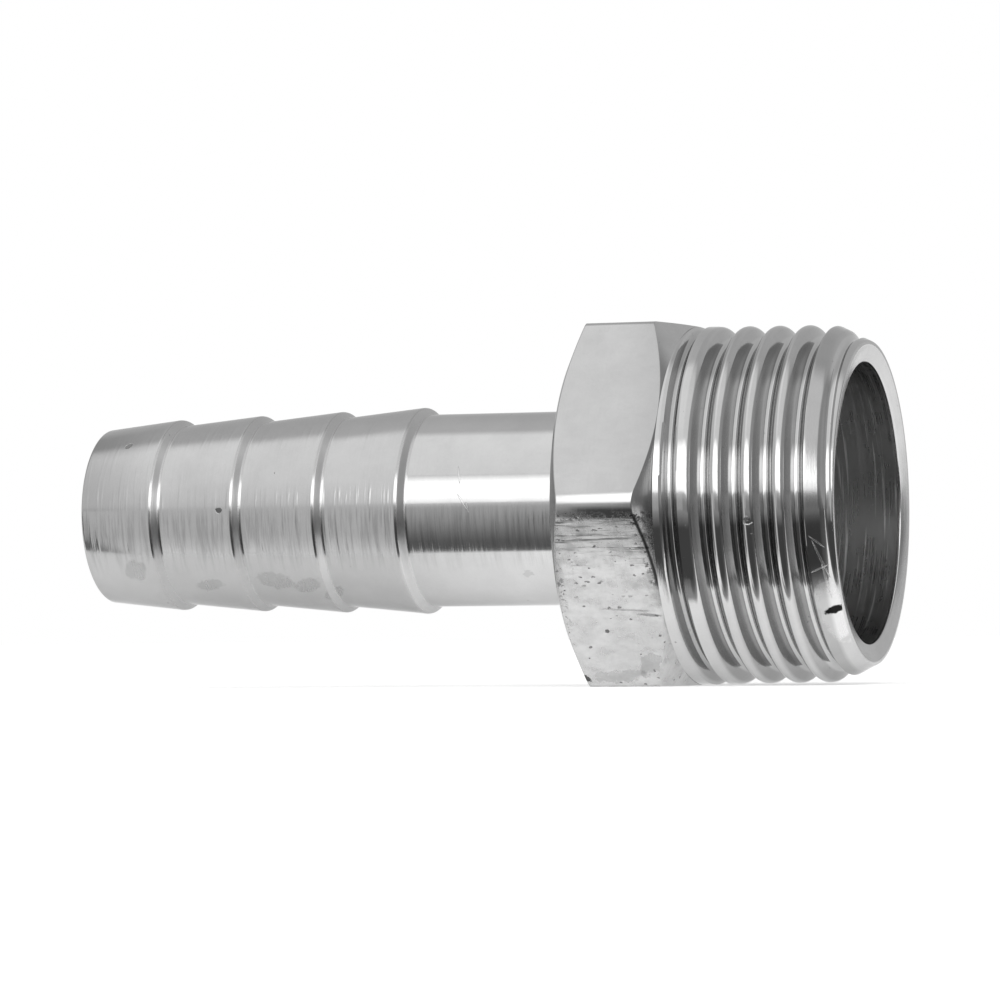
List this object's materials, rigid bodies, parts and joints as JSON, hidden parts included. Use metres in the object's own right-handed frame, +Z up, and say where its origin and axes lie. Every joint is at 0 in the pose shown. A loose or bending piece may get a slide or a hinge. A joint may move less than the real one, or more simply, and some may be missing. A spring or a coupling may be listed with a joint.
{
  "type": "gas hose adapter",
  "caption": "Plated brass gas adapter: barbed hose tail, spanner hexagon and right-hand male pipe thread round a wide open mouth.",
  "frame": {"origin": "on the axis of the bore, in the plane where the thread meets the hexagon", "axes": "+X along the axis towards the threaded mouth, +Z up, with a flat of the hexagon facing down (-Z) and a corner of it facing -Y"},
  "size_m": [0.0474, 0.024, 0.021],
  "materials": {
    "plated_brass": "polished and nickel plated, with fine turning marks, small pits and smudges"
  },
  "bodies": {
    "root": {"adapter_body": "plated_brass"}
  },
  "joints": []
}
